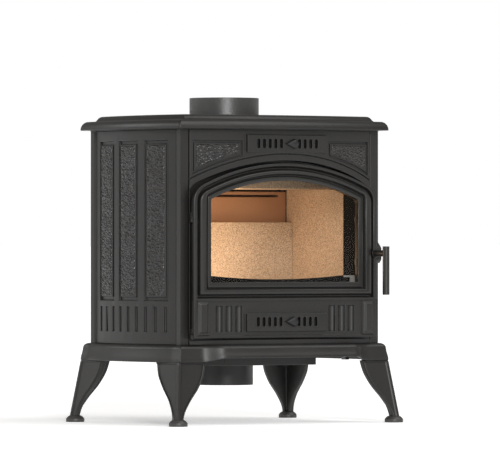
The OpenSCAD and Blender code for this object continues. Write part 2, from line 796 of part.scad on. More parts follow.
module latch_pawl() color("#6f6f70") centred() facing(pawl_level, pawl_level + pawl_t) difference() {
    union() {
        translate([latch_x, latch_z]) circle(r = pawl_hub);
        span(latch_x, latch_x + pawl_reach, latch_z - 5, latch_z + 3);
    }
    translate([latch_x, latch_z]) circle(r = shaft_r);
}

module pawl_nut() color("#77777a") centred() facing(pawl_level - 4, pawl_level) difference() {
    translate([latch_x, latch_z]) circle(r = 7.5, $fn = 6);
    translate([latch_x, latch_z]) circle(r = shaft_r);
}

// ---------- firebox ----------

module side_brick()
    block([brick_x, brick_y0, brick_z0], [brick_x + brick_t, brick_y1 + brick_t - 0.5, brick_top]);

module left_fire_brick() color("#b9956a") centred() mirror([1, 0, 0]) side_brick();
module right_fire_brick() color("#b9956a") centred() side_brick();
module back_fire_brick() color("#b9956a") centred()
    block([-brick_x + 0.5, brick_y1, brick_z0], [brick_x - 0.5, brick_y1 + brick_t, back_top]);

module front_cheeks() color("#303030") centred() left_and_right()
    block([brick_x - 3, -post_in_y, brick_z0], [brick_x + 4, brick_y0 - 0.5, brick_top + 20]);

duct_x = brick_x - 1;

module rear_air_duct() color("#3a3a3a") centred() difference() {
    block([-duct_x, brick_y1 + brick_t, brick_z0], [duct_x, hd - wall, brick_top - 4]);
    block([-duct_x + sheet, brick_y1 + brick_t + sheet, brick_z0 - 1],
        [duct_x - sheet, hd - wall - sheet, brick_top - 4 - sheet]);
    // slot for the secondary air, close under the baffle
    block([-duct_x + 20, brick_y1 + brick_t - 1, brick_top - 16],
        [duct_x - 20, brick_y1 + brick_t + sheet + 1, brick_top - 11]);
}

module fire_bed() color("#303030") centred() difference() {
    block([-post_in_x, -hd + wall, bed_z], [post_in_x, hd - wall, bed_z + bed_t]);
    block([-grate_x, grate_y0, bed_z + 4], [grate_x, grate_y1, bed_z + bed_t + 1]);
    block([-grate_x + 8, grate_y0 + 8, bed_z - 1], [grate_x - 8, grate_y1 - 8, bed_z + 5]);
    block([-140, brick_y1 + brick_t + 6, bed_z - 1], [140, hd - wall - 6, bed_z + bed_t + 1]);
    four_corners() translate([tie_x, tie_y, 0]) upright(tie_r + free_gap, bed_z - 1, bed_z + bed_t + 1);
}

module grate() color("#2b2b2b") centred() {
    bars = 13;
    gap = 9;
    pitch = (2 * grate_x - 14 - gap) / bars;
    difference() {
        block([-grate_x + 1, grate_y0 + 1, bed_z + 4], [grate_x - 1, grate_y1 - 1, bed_z + bed_t + 4]);
        for (i = [0:bars]) translate([-grate_x + 8 + pitch * i, 0, 0])
            block([0, grate_y0 + 10, bed_z], [gap, grate_y1 - 10, bed_z + bed_t + 5]);
    }
}

module log_guard() color("#2d2d2d") centred() facing(-wall - 10, -wall - 3) difference() {
    span(-frame_open_x + 5, frame_open_x - 5, bed_z + bed_t, panel_z1 + 55);
    translate([0, panel_z1 + 44 + 1800]) circle(r = 1800, $fn = 360);
    for (i = [-6:6]) translate([i * 26, bed_z + bed_t + 14]) span(-4, 4, 0, 12);
}

module guard_bracket() color("#a9a59a") centred() facing(-wall - 3, -wall) {
    span(frame_open_x - 12, frame_open_x + 8, panel_z1 + 34, panel_z1 + 52);
    span(frame_open_x - 28, frame_open_x - 11, panel_z1 + 48, panel_z1 + 52);
}

module ash_pan() color("#4a4a4a") centred() {
    difference() {
        block([-pan_x, pan_y0, pan_z0], [pan_x, pan_y1, pan_z1]);
        block([-pan_x + 2, pan_y0 + 2, pan_z0 + 2], [pan_x - 2, pan_y1 - 2, pan_z1 + 1]);
    }
    block([-40, pan_y0 - 12, pan_z1 - 8], [40, pan_y0 + 1, pan_z1 - 5]);
    block([-40, pan_y0 - 12, pan_z1 - 16], [40, pan_y0 - 10, pan_z1 - 5]);
}

module ash_pan_rails() color("#3a3a3a") centred() left_and_right()
    block([pan_x - 20, pan_y0 + 10, body_z0 + floor_t], [pan_x - 12, pan_y1, pan_z0]);

module smoke_baffle() color("#b59670") centred()
    block([-brick_x - 20, -hd + 127, brick_top], [brick_x + 20, brick_y1 + brick_t + 16, brick_top + 20]);

module smoke_deflector() color("#3a3a3a") centred()
    block([-post_in_x + 11, -post_in_y + 2, body_z1 - 58], [post_in_x - 11, 10, body_z1 - 54]);

module deflector_brackets() color("#3a3a3a") centred() left_and_right()
    block([post_in_x - 24, -hd + 60, body_z1 - 61], [hw - 4, -hd + 160, body_z1 - 58]);

leg_front_left();
leg_front_right();
leg_rear_left();
leg_rear_right();
foot_discs();
leg_bolts();
plinth();
bottom_plate();
air_box();
air_intake_pipe();
corner_posts();
left_side_plate();
right_side_plate();
back_plate();
front_frame();
top_plate();
flue_collar();
collar_bolts();
tie_rods();
tie_rod_nuts();
hinge_lugs();
hinge_pins();
latch_keeper();
upper_air_slider();
upper_air_knob();
upper_slider_guides();
door_casting();
door_glass();
glass_gasket();
glass_clips();
clip_screws();
door_rope_seal();
lower_air_slider();
lower_air_knob();
lower_slider_guides();
door_handle();
handle_grip();
latch_pawl();
pawl_nut();
left_fire_brick();
right_fire_brick();
back_fire_brick();
front_cheeks();
rear_air_duct();
fire_bed();
grate();
log_guard();
guard_bracket();
ash_pan();
ash_pan_rails();
smoke_baffle();
smoke_deflector();
deflector_brackets();
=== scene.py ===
from math import atan2, cos, hypot, pi, radians, sin, sqrt, tau

import bmesh
import bpy
from mathutils import Matrix, Vector, noise


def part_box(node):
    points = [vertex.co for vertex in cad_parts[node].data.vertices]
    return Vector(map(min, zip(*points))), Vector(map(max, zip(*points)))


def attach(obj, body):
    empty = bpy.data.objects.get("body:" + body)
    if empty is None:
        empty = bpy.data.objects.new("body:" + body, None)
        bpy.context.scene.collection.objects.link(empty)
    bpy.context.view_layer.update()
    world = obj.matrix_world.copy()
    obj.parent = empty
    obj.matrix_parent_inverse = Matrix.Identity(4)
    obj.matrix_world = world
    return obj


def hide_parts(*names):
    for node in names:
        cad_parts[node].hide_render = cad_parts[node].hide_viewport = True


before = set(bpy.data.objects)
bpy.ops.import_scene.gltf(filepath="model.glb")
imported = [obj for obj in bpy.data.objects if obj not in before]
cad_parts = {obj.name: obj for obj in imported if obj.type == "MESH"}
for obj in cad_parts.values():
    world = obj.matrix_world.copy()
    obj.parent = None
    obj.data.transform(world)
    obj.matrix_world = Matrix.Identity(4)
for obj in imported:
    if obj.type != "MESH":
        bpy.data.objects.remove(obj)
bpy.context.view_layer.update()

# Camera. The stove is seen from its front left corner at the height of the door, from far off
# through a long lens, so its upright edges stay upright and its sides hardly taper.
MM = 0.001
camera_turn = radians(33.79)
camera_distance = 12.706
camera_side = 0.0338
camera_height = 0.3838
posts_low, posts_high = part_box("corner_posts")
mid_y = (posts_low.y + posts_high.y) / 2

camera_data = bpy.data.cameras.new("camera")
camera_data.sensor_width = 36
camera_data.lens = 423.7
camera_data.shift_y = 0.0316
camera = bpy.data.objects.new("camera", camera_data)
bpy.context.collection.objects.link(camera)
bpy.context.scene.camera = camera
sideways = Vector((cos(camera_turn), -sin(camera_turn), 0))
forwards = Vector((sin(camera_turn), cos(camera_turn), 0))
camera.location = Vector((0, mid_y, camera_height)) + camera_side * sideways - camera_distance * forwards
camera.rotation_euler = (radians(90), 0, -camera_turn)
camera_data.clip_end = 2000


# Studio. A wide white floor under an even pale sky gives the plain ground. Four soft lamps model
# the stove: one beside the camera, one over the door, one broad on the left, one raking from behind.
def to_linear(hex_colour):
    channels = [int(hex_colour[i:i + 2], 16) / 255 for i in (1, 3, 5)]
    return [c / 12.92 if c <= 0.04045 else ((c + 0.055) / 1.055) ** 2.4 for c in channels] + [1]


def add_node(tree, kind, settings=None, **links):
    """Adds a shader node; a link is given as INPUT_NAME=(node, output) and a number or colour as a value."""
    made = tree.nodes.new(kind)
    for key, value in (settings or {}).items():
        setattr(made, key, value)
    for name, value in links.items():
        socket = made.inputs[int(name[1:])] if name[0] == "_" else made.inputs[name.replace("_", " ")]
        if isinstance(value, tuple) and hasattr(value[0], "outputs"):
            tree.links.new(value[0].outputs[value[1]], socket)
        else:
            socket.default_value = value
    return made


def new_material(name):
    material = bpy.data.materials.new(name)
    material.use_nodes = True
    tree = material.node_tree
    tree.nodes.clear()
    return material, tree


world = bpy.data.worlds.new("white_sky")
bpy.context.scene.world = world
world.use_nodes = True
sky = world.node_tree
sky.nodes.clear()
seen = add_node(sky, "ShaderNodeLightPath")
plain = add_node(sky, "ShaderNodeBackground", Color=to_linear("#FFFFFF"), Strength=1.0)
dimmed = add_node(sky, "ShaderNodeBackground", Color=to_linear("#FFFDFA"), Strength=0.30)
sky_shader = add_node(sky, "ShaderNodeMixShader", _0=(seen, "Is Camera Ray"), _1=(dimmed, "Background"),
                      _2=(plain, "Background"))
add_node(sky, "ShaderNodeOutputWorld", Surface=(sky_shader, "Shader"))
bpy.context.scene.view_settings.view_transform = "Standard"

floor_mesh = bmesh.new()
bmesh.ops.create_circle(floor_mesh, cap_ends=True, segments=64, radius=900)
floor_data = bpy.data.meshes.new("floor")
floor_mesh.to_mesh(floor_data)
floor_mesh.free()
floor = bpy.data.objects.new("floor", floor_data)
bpy.context.collection.objects.link(floor)
pale_floor, tree = new_material("pale_floor")
shader = add_node(tree, "ShaderNodeBsdfPrincipled", Base_Color=to_linear("#FCFCFC"), Roughness=1.0,
                  Specular_IOR_Level=0.0, Emission_Color=to_linear("#FFFFFF"), Emission_Strength=0.38)
add_node(tree, "ShaderNodeOutputMaterial", Surface=(shader, "BSDF"))
floor_data.materials.append(pale_floor)


def soft_light(name, from_there, spread, strength):
    data = bpy.data.lights.new(name, "SUN")
    data.angle = radians(spread)
    data.energy = strength
    light = bpy.data.objects.new(name, data)
    bpy.context.collection.objects.link(light)
    light.rotation_euler = (-Vector(from_there)).to_track_quat("-Z", "Y").to_euler()


soft_light("key_by_the_camera", (-0.40, -0.91, 0.30), 18, 1.9)
soft_light("fill_on_the_door", (0.50, -0.80, 1.10), 45, 1.15)
soft_light("fill_from_the_left", (-0.95, 0.10, 0.30), 60, 0.28)
soft_light("edge_from_the_back_left", (-0.60, 0.80, 0.35), 14, 0.32)


# Stove paint: heat-proof silicate paint, matt anthracite, sprayed thin over sand-cast iron. The
# sand leaves a grain of about half a millimetre, drawn at 1.2 and 3 mm here so that it shows, and
# the film is a little paler or darker over a hand's width.
def stove_paint(name, colour, paler, roughness, grain, shine=0.5):
    material, tree = new_material(name)
    place = add_node(tree, "ShaderNodeTexCoord")
    cloud = add_node(tree, "ShaderNodeTexNoise", Vector=(place, "Object"), Scale=9.0, Detail=4.0)
    sand = add_node(tree, "ShaderNodeTexNoise", Vector=(place, "Object"), Scale=830.0, Detail=3.0)
    pits = add_node(tree, "ShaderNodeTexNoise", Vector=(place, "Object"), Scale=330.0, Detail=3.0)
    tone = add_node(tree, "ShaderNodeMixRGB", _0=(cloud, "Fac"), _1=to_linear(colour), _2=to_linear(paler))
    specks = add_node(tree, "ShaderNodeMapRange", _0=(pits, "Fac"), _1=0.3, _2=0.7, _3=0.82, _4=1.18)
    speckled = add_node(tree, "ShaderNodeMixRGB", {"blend_type": "MULTIPLY"}, _0=1.0, _1=(tone, "Color"),
                        _2=(specks, "Result"))
    sheen = add_node(tree, "ShaderNodeMapRange", _0=(cloud, "Fac"), _1=0.3, _2=0.7, _3=roughness - 0.05,
                     _4=roughness + 0.05)
    coarse = add_node(tree, "ShaderNodeBump", Height=(pits, "Fac"), Strength=grain, Distance=0.0005)
    fine = add_node(tree, "ShaderNodeBump", Height=(sand, "Fac"), Strength=grain, Distance=0.0002,
                    Normal=(coarse, "Normal"))
    shader = add_node(tree, "ShaderNodeBsdfPrincipled", Base_Color=(speckled, "Color"),
                      Roughness=(sheen, "Result"), Specular_IOR_Level=shine, Normal=(fine, "Normal"))
    add_node(tree, "ShaderNodeOutputMaterial", Surface=(shader, "BSDF"))
    return material


painted_iron = stove_paint("stove_paint_on_cast_iron", "#181716", "#1D1C1A", 0.40, 0.35)


# Legs. Four L-shaped castings, swept out to the corners of the room and bolted up under the corners
# of the plinth. Each has a bead inside its two free edges, a rounded ridge and a band along its top.
to_metres = Matrix.Translation((0, mid_y, 0)) @ Matrix.Scale(MM, 4)


def box_mm(node):
    """Lowest and highest corner of a frame node in millimetres, measured from the middle of the body."""
    low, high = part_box(node)
    middle = Vector((0, mid_y, 0))
    return (low - middle) / MM, (high - middle) / MM


def drawn_rings(mesh, rings):
    """Draws a wall through rings of points: the edges of each ring are extruded to the next one."""
    loop = [mesh.verts.new(point) for point in rings[0]]
    edges = [mesh.edges.new(pair) for pair in zip(loop, loop[1:] + loop[:1])]
    loops = [loop]
    for ring in rings[1:]:
        made = {v for v in bmesh.ops.extrude_edge_only(mesh, edges=edges)["geom"]
                if isinstance(v, bmesh.types.BMVert)}
        loop = [next(e.other_vert(v) for e in v.link_edges if e.other_vert(v) in made) for v in loop]
        for vertex, point in zip(loop, ring):
            vertex.co = point
        edges = [mesh.edges.get(pair) for pair in zip(loop, loop[1:] + loop[:1])]
        loops.append(loop)
    return loops


def finish_piece(name, mesh, material, body, replaced=(), smooth=35, in_mm=True):
    """Makes the piece of a mesh, puts it in its place and lets it ride on its body."""
    if in_mm:
        bmesh.ops.transform(mesh, verts=mesh.verts, matrix=to_metres)
        bmesh.ops.recalc_face_normals(mesh, faces=mesh.faces)
    data = bpy.data.meshes.new(name)
    mesh.to_mesh(data)
    mesh.free()
    data.materials.append(material)
    data.shade_smooth()
    data.set_sharp_from_angle(angle=radians(smooth))
    piece = bpy.data.objects.new(name, data)
    bpy.context.collection.objects.link(piece)
    even = piece.modifiers.new("even_shading", "WEIGHTED_NORMAL")
    even.keep_sharp = True
    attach(piece, body)
    if replaced:
        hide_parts(*replaced)
    return piece


plinth_low, plinth_high = box_mm("plinth")
posts_low, posts_high = box_mm("corner_posts")
half_width, half_depth = posts_high.x, posts_high.y
foot_top, leg_top = box_mm("foot_discs")[1].z, plinth_low.z
leg_wall = 9
foot_reach, top_reach = Vector((28, 35)), Vector((13, 15))
leg_widths = [(1, 67, 86), (0.88, 66, 84), (0.76, 63, 80), (0.64, 57, 71), (0.52, 49, 60), (0.42, 40, 48),
              (0.33, 32, 38), (0.25, 26, 32), (0.18, 21, 27), (0.09, 16.5, 23.5), (0, 14.5, 22)]
leg_rings = 30
band_height, band_proud = 4.2, 1.6
bead_height, bead_half = 2.6, 2.4
ridge_bead = [(7.6, 0), (6.4, 1.3), (4.4, 2.2), (2.2, 2.6)]
bolt_to_side, bolt_to_front, boss_radius = 52, 50, 13
lug, lug_into_arms, lug_off_skirt, flange_up, flange_in = 20, 3, 2.5, 8, 24


def leg_width(share):
    """Widths of both arms of a leg at a share of its height, on a smooth curve through its pattern."""
    count = len(leg_widths)
    index = next(i for i in range(count - 1) if share >= leg_widths[i + 1][0])
    a, b, c, d = (leg_widths[min(max(index + i, 0), count - 1)] for i in (-1, 0, 1, 2))
    t = (b[0] - share) / (b[0] - c[0])
    return [(2 * b[k] + (c[k] - a[k]) * t + (2 * a[k] - 5 * b[k] + 4 * c[k] - d[k]) * t ** 2
             + (3 * b[k] - a[k] - 3 * c[k] + d[k]) * t ** 3) / 2 for k in (1, 2)]


def leg_arm(width, proud, beaded):
    """One arm of the section, from the ridge along its face to its tip and back along its inside."""
    bead_in = 2.4 + 0.05 * width
    half = min(bead_half, bead_in - 1)
    bead = [(width - bead_in + half * across, proud + beaded * bead_height * up)
            for across, up in ((-1, 0), (-0.55, 0.8), (0, 1), (0.55, 0.8), (1, 0))]
    ridge = [(along, proud + beaded * up) for along, up in reversed(ridge_bead)]
    return ridge + bead + [(width - 0.9, proud), (width, proud - 0.9), (width, 1 - leg_wall),
                           (width - 1, -leg_wall), (leg_wall + 1.5, -leg_wall)]


def leg_section(share, proud=0.0, beaded=1.0):
    height = foot_top + (leg_top - foot_top) * share
    ridge = Vector((half_width, half_depth)) + foot_reach.lerp(top_reach, share)
    along_x, along_y = (leg_arm(width, proud, beaded) for width in leg_width(share))
    crest = proud - 0.3 + 2.2 * beaded
    flat = [(-u, v) for u, v in reversed(along_x)] + [(crest, crest)] + [(v, -u) for u, v in along_y]
    return [(ridge.x + x, ridge.y + y, height) for x, y in flat]


def turned(mesh, profile, place, steps=72):
    """Turns a profile of (radius, height) points about the upright axis through place."""
    place = Vector(place)
    points = [mesh.verts.new(place + Vector((radius, 0, height))) for radius, height in profile]
    edges = [mesh.edges.new(pair) for pair in zip(points, points[1:])]
    bmesh.ops.spin(mesh, geom=points + edges, cent=place, axis=(0, 0, 1), angle=tau, steps=steps,
                   use_merge=True)
    bmesh.ops.remove_doubles(mesh, verts=mesh.verts, dist=0.01)


def add_block(mesh, low, high):
    lump = bmesh.ops.create_cube(mesh, size=1)["verts"]
    bmesh.ops.scale(mesh, verts=lump, vec=[b - a for a, b in zip(low, high)])
    bmesh.ops.translate(mesh, verts=lump, vec=[(a + b) / 2 for a, b in zip(low, high)])


band_share = 1 - band_height / (leg_top - foot_top)
bolt_x, bolt_y = half_width - bolt_to_side, half_depth - bolt_to_front
inner_x, inner_y = half_width + top_reach.x - leg_wall, half_depth + top_reach.y - leg_wall
neck_x, flange_low = inner_x - lug_off_skirt, leg_top + flange_up
deck_low = box_mm("leg_front_left")[1].z
for side, side_name in ((-1, "left"), (1, "right")):
    for front, front_name in ((-1, "front"), (1, "rear")):
        mesh = bmesh.new()
        rings = [leg_section(band_share * i / leg_rings) for i in range(leg_rings + 1)]
        rings += [leg_section(band_share + 0.006, band_proud, 0.2), leg_section(0.995, band_proud, 0.1),
                  leg_section(1, band_proud - 0.6, 0.1)]
        drawn_rings(mesh, rings)
        bmesh.ops.holes_fill(mesh, edges=mesh.edges, sides=0)
        # the lug in the corner of the arms, its neck inside the skirt, the flange and the bolt's boss
        add_block(mesh, (inner_x - lug, inner_y - lug, leg_top - lug),
                  (inner_x + lug_into_arms, inner_y + lug_into_arms, leg_top))
        add_block(mesh, (inner_x - lug, inner_y - lug, leg_top - 1), (neck_x, inner_y, flange_low))
        add_block(mesh, (bolt_x - flange_in, bolt_y - flange_in, flange_low),
                  (neck_x, inner_y, flange_low + leg_wall))
        turned(mesh, [(0, flange_low + 1), (boss_radius, flange_low + 1), (boss_radius, deck_low),
                      (0, deck_low)], (bolt_x, bolt_y, 0), 32)
        bmesh.ops.scale(mesh, verts=mesh.verts, vec=(side, front, 1))
        node = "leg_%s_%s" % (front_name, side_name)
        finish_piece(node + "_casting", mesh, painted_iron, "stove", [node], 30)


# Feet. Four round discs turned from iron, with a chamfered top, screwed under the legs. Their paint is
# painted paler than the castings' as painted light, lifting them out of the shade of the floor.
feet_paint_painted_lighter = stove_paint("stove_paint_on_feet_painted_lighter", "#333231", "#3D3C3A", 0.38, 0.35)
mesh = bmesh.new()
feet_low, feet_high = box_mm("foot_discs")
foot_radius = 20
foot_profile = [(0, 0), (18.8, 0), (19.7, 0.4), (20, 1.2), (20, 6.6), (19.6, 7.6), (16.2, 11.6), (14.6, 12.6),
                (12.5, feet_high.z), (0, feet_high.z)]
for x in (feet_low.x + foot_radius, feet_high.x - foot_radius):
    for y in (feet_low.y + foot_radius, feet_high.y - foot_radius):
        turned(mesh, foot_profile, (x, y, 0))
finish_piece("feet", mesh, feet_paint_painted_lighter, "stove", ["foot_discs"], 50)


# Plinth. One casting, a skirt with rounded shoulders under the body: flat blocks at the corners, the
# front swept out between them with a raised lower edge, and the sides bowed.
apron_x, sweep_x, front_bow, arch_rise = 216, 51, 27, 9
side_block = 30
side_bow = 18
rim_x, rim_y = plinth_high.x - half_width - side_bow, 20
front_steps, side_steps, back_steps = 132, 44, 12


def s_curve(t):
    return (1 - cos(pi * max(0, min(1, t)))) / 2


def plinth_outline(inset):
    across, deep = half_width + rim_x - inset, half_depth + rim_y - inset
    swept = [across * (2 * i / front_steps - 1) for i in range(front_steps)]
    bowed = [deep * (2 * i / side_steps - 1) for i in range(side_steps)]
    side = [across + side_bow * max(0, 1 - (y / (half_depth + rim_y - side_block)) ** 2) for y in bowed]
    return ([(x, -deep - front_bow * s_curve((apron_x - abs(x)) / sweep_x)) for x in swept]
            + list(zip(side, bowed))
            + [(across * (1 - 2 * i / back_steps), deep) for i in range(back_steps)]
            + [(-x, -y) for x, y in zip(side, bowed)])


def lower_edge(x, index):
    """How far the lower edge of the skirt is raised at a point of the outline."""
    return arch_rise * s_curve((apron_x - abs(x)) / sweep_x) if index < front_steps else 0.0


def to_rectangle(points, centre, low, high):
    """Draws the points of an outline in to a rectangle, along rays from a centre, with its corners kept."""
    drawn = []
    for x, y in points:
        ray_x, ray_y = x - centre[0], y - centre[1]
        grow = min(abs((high[0] if ray_x > 0 else low[0]) - centre[0]) / max(abs(ray_x), 1e-6),
                   abs((high[1] if ray_y > 0 else low[1]) - centre[1]) / max(abs(ray_y), 1e-6))
        drawn.append([centre[0] + ray_x * grow, centre[1] + ray_y * grow])
    for corner in ((low[0], low[1]), (high[0], low[1]), (high[0], high[1]), (low[0], high[1])):
        nearest = min(range(len(drawn)),
                      key=lambda i: hypot(drawn[i][0] - corner[0], drawn[i][1] - corner[1]))
        drawn[nearest] = list(corner)
    return drawn


def round_corners(mesh, outside):
    """Rounds the four upright corners of the wall that is drawn through the outside rings."""
    corners = (0, front_steps, front_steps + side_steps, front_steps + side_steps + back_steps)
    edges = [mesh.edges.get((a[i], b[i])) for a, b in zip(outside, outside[1:]) for i in corners]
    bmesh.ops.bevel(mesh, geom=edges, offset=1.8, offset_type="OFFSET", segments=3, profile=0.5,
                    affect="EDGES", clamp_overlap=True, material=-1)
    bmesh.ops.remove_doubles(mesh, verts=mesh.verts, dist=0.01)


skirt_wall, deck_wall, ledge_on_box = 7, 8, 20
shoulder_radius, shoulder_in = 10, 4
shoulder = [(shoulder_in + shoulder_radius * (1 - cos(a)), plinth_high.z - shoulder_radius * (1 - sin(a)), 0)
            for a in (i * pi / 16 for i in range(9))]
box_low, box_high = box_mm("air_box")
opening = to_rectangle(plinth_outline(0), (0, 0), (box_low.x + ledge_on_box, box_low.y + ledge_on_box),
                       (box_high.x - ledge_on_box, box_high.y - ledge_on_box))
bottom = plinth_low.z
# inset, height, and how much of the raised lower edge the ring follows
profile = [(skirt_wall + 5, plinth_high.z - deck_wall, 0), (skirt_wall + 1, bottom + 12, 1),
           (skirt_wall, bottom, 1), (1.0, bottom, 1), (0.3, bottom + 0.3, 1), (0, bottom + 1, 1),
           (0.4, bottom + 6, 0.8), (1.4, bottom + 12, 0.5), (2.9, bottom + 19, 0.2)]
profile += shoulder + [(20, plinth_high.z, 0)]
rings = [[(x, y, plinth_high.z - deck_wall) for x, y in opening]]
for inset, height, share in profile:
    rings.append([(x, y, height + share * lower_edge(x, i))
                  for i, (x, y) in enumerate(plinth_outline(inset))])
rings += [[(x, y, plinth_high.z) for x, y in opening], rings[0]]
mesh = bmesh.new()
loops = drawn_rings(mesh, rings)
round_corners(mesh, loops[3:len(profile) + 1])
finish_piece("plinth_casting", mesh, painted_iron, "stove", ["plinth"], 40)


# Posts, plates and front frame: the upright castings of the body, held between the plinth and the
# top by four tie rods. Their shape comes from the frame, and the edges are rounded as a mould does.
def frame_copy(node):
    mesh = bmesh.new()
    mesh.from_mesh(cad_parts[node].data)
    bmesh.ops.remove_doubles(mesh, verts=mesh.verts, dist=0.002 * MM)
    return mesh


def rounded(mesh, radius, segments=2, sharp=28):
    edges = [e for e in mesh.edges if e.is_manifold and e.calc_face_angle() > radians(sharp)]
    bmesh.ops.bevel(mesh, geom=edges, offset=radius * MM, offset_type="OFFSET", segments=segments,
                    profile=0.5, affect="EDGES", clamp_overlap=False, material=-1)


def softened(node, name, material, body, radius, segments=2):
    """Makes the piece of a frame node with its sharp edges rounded."""
    mesh = frame_copy(node)
    bmesh.ops.dissolve_limit(mesh, angle_limit=radians(0.5), verts=mesh.verts, edges=mesh.edges)
    rounded(mesh, radius, segments)
    finish_piece(name, mesh, material, body, [node], 40, in_mm=False)


for node, name, radius in (("bottom_plate", "floor_plate", 1.2), ("corner_posts", "posts", 0.7),
                           ("back_plate", "rear_wall", 1.0), ("left_side_plate", "left_wall", 1.5),
                           ("right_side_plate", "right_wall", 1.5), ("front_frame", "front_plate", 0.8),
                           ("hinge_lugs", "lugs", 0.7), ("latch_keeper", "keeper", 1.2)):
    softened(node, name, painted_iron, "stove", radius)


# Flue collar: a short pipe of cast iron, bolted by its flange under the hole of the top. Its paint is
# glossier than on the sand-cast plates, and its colour is painted greyer as a painted highlight: a lit copy
# of the stove paint.
collar_paint_painted_lighter = stove_paint("stove_paint_on_collar_painted_lighter", "#242423", "#2C2C2B", 0.34, 0.7, 1.0)
softened("flue_collar", "collar", collar_paint_painted_lighter, "stove", 0.8)


# Hammered fields: the pebbled ground cast into the side walls and into the upper corners of the
# front. Each is a sheet of domed pebbles about 5 mm across, raised from the plate inside a border.
pebble = 5.0
panel_low, panel_high = 264, 604
panel_pitch, panel_half, groove_w = 96.7, 37.3, 7.5
border = 2.6
side_relief, front_relief, sheet_behind = 2.8, 2.4, 2.0
hammered_paint = stove_paint("stove_paint_on_hammered_ground", "#1A1918", "#242322", 0.25, 0.3)


def pebble_rise(a, b, edge, deep):
    """Height of the pebbled ground at a point, from its distance to the edge of the field."""
    near, points = noise.voronoi(Vector((a / pebble / 1.35, b / pebble, 0.37)))
    lump = abs(noise.cell(points[0] * 5.3))
    dome = max(0.0, 1 - (near[0] / 0.6) ** 2) ** 0.7 * (0.45 + 0.55 * lump)
    return (deep * dome + 0.5) * min(1.0, edge / 1.6) - 0.8 * max(0.0, 1 - edge / 0.3)


def raised_sheet(mesh, columns, rows, place_at, inwards):
    """A sheet laid by place_at(u, v), with its border turned inwards and closed behind."""
    made = bmesh.ops.create_grid(mesh, x_segments=columns, y_segments=rows, size=0.5)["verts"]
    for vertex in made:
        vertex.co = place_at(vertex.co.x + 0.5, vertex.co.y + 0.5)
    border_edges = [e for e in {e for v in made for e in v.link_edges} if e.is_boundary]
    walls = bmesh.ops.extrude_edge_only(mesh, edges=border_edges)["geom"]
    bmesh.ops.translate(mesh, verts=[g for g in walls if isinstance(g, bmesh.types.BMVert)], vec=inwards)
    back = [g for g in walls if isinstance(g, bmesh.types.BMEdge) and g.is_boundary]
    bmesh.ops.contextual_create(mesh, geom=back)


side_chord = 147
side_radius = (side_chord ** 2 + side_bow ** 2) / (2 * side_bow)
field_half = panel_half - groove_w - border
field_low, field_high = panel_low + groove_w + border, panel_high - groove_w - border
for side, side_name in ((-1, "left"), (1, "right")):
    mesh = bmesh.new()
    for index in (-1, 0, 1):
        def on_side(u, v):
            along = field_half * (2 * u - 1)
            y, z = index * panel_pitch + along, field_low + (field_high - field_low) * v
            edge = min(field_half - abs(along), z - field_low, field_high - z)
            bowed = half_width + side_bow - side_radius + sqrt(side_radius ** 2 - y ** 2)
            return side * (bowed + pebble_rise(y + 300 * side, z, edge, side_relief)), y, z

        raised_sheet(mesh, 70, 400, on_side, (-sheet_behind * side, 0, 0))
    finish_piece(side_name + "_hammered_fields", mesh, hammered_paint, "stove", (), 80)

front_radius = 1036
corner_in, corner_out, corner_edge = 110.75, 226, 8.5
arch_low, arch_radius = 52.5, 530
mesh = bmesh.new()
for side in (-1, 1):
    def on_corner(u, v):
        inner, outer = corner_in + corner_edge, corner_out - corner_edge
        x = side * (inner + (outer - inner) * u)
        low = arch_low + sqrt((arch_radius + corner_edge) ** 2 - x ** 2)
        high = panel_high - corner_edge
        z = low + (high - low) * v
        edge = min(abs(x) - inner, outer - abs(x), (high - low) * v, (high - low) * (1 - v))
        surface = front_radius - half_depth - front_bow - sqrt(front_radius ** 2 - x ** 2)
        return x, surface - pebble_rise(x * 0.8, z * 1.1 + 900, edge, front_relief), z

    raised_sheet(mesh, 110, 120, on_corner, (0, sheet_behind, 0))
finish_piece("front_hammered_fields", mesh, hammered_paint, "stove", (), 80)


# Top plate. One heavy casting: a lip rounded over like a quarter of a pipe, a flat ledge, a small
# step, and the bowed top with the round hole for the flue collar.
top_low, top_high = box_mm("top_plate")
lip_low, ledge_high, top_wall = top_low.z + 2, top_high.z - 11, 10
flue_y, hole_radius, hollow_x, hollow_y = 40, 77, 232, 157


def top_outline(inset):
    across, deep = half_width + rim_x - inset, half_depth + rim_y - inset
    front = (across ** 2 + front_bow ** 2) / (2 * front_bow)
    flank = (deep ** 2 + side_bow ** 2) / (2 * side_bow)
    swept = [across * (2 * i / front_steps - 1) for i in range(front_steps)]
    bowed = [deep * (2 * i / side_steps - 1) for i in range(side_steps)]
    side = [across + side_bow - flank + sqrt(flank ** 2 - y ** 2) for y in bowed]
    return ([(x, -deep - front_bow + front - sqrt(front ** 2 - x ** 2)) for x in swept]
            + list(zip(side, bowed))
            + [(across * (1 - 2 * i / back_steps), deep) for i in range(back_steps)]
            + [(-x, -y) for x, y in zip(side, bowed)])


def to_circle(points, radius):
    drawn = []
    for x, y in points:
        length = hypot(x, y - flue_y)
        drawn.append((x * radius / length, flue_y + (y - flue_y) * radius / length))
    return drawn


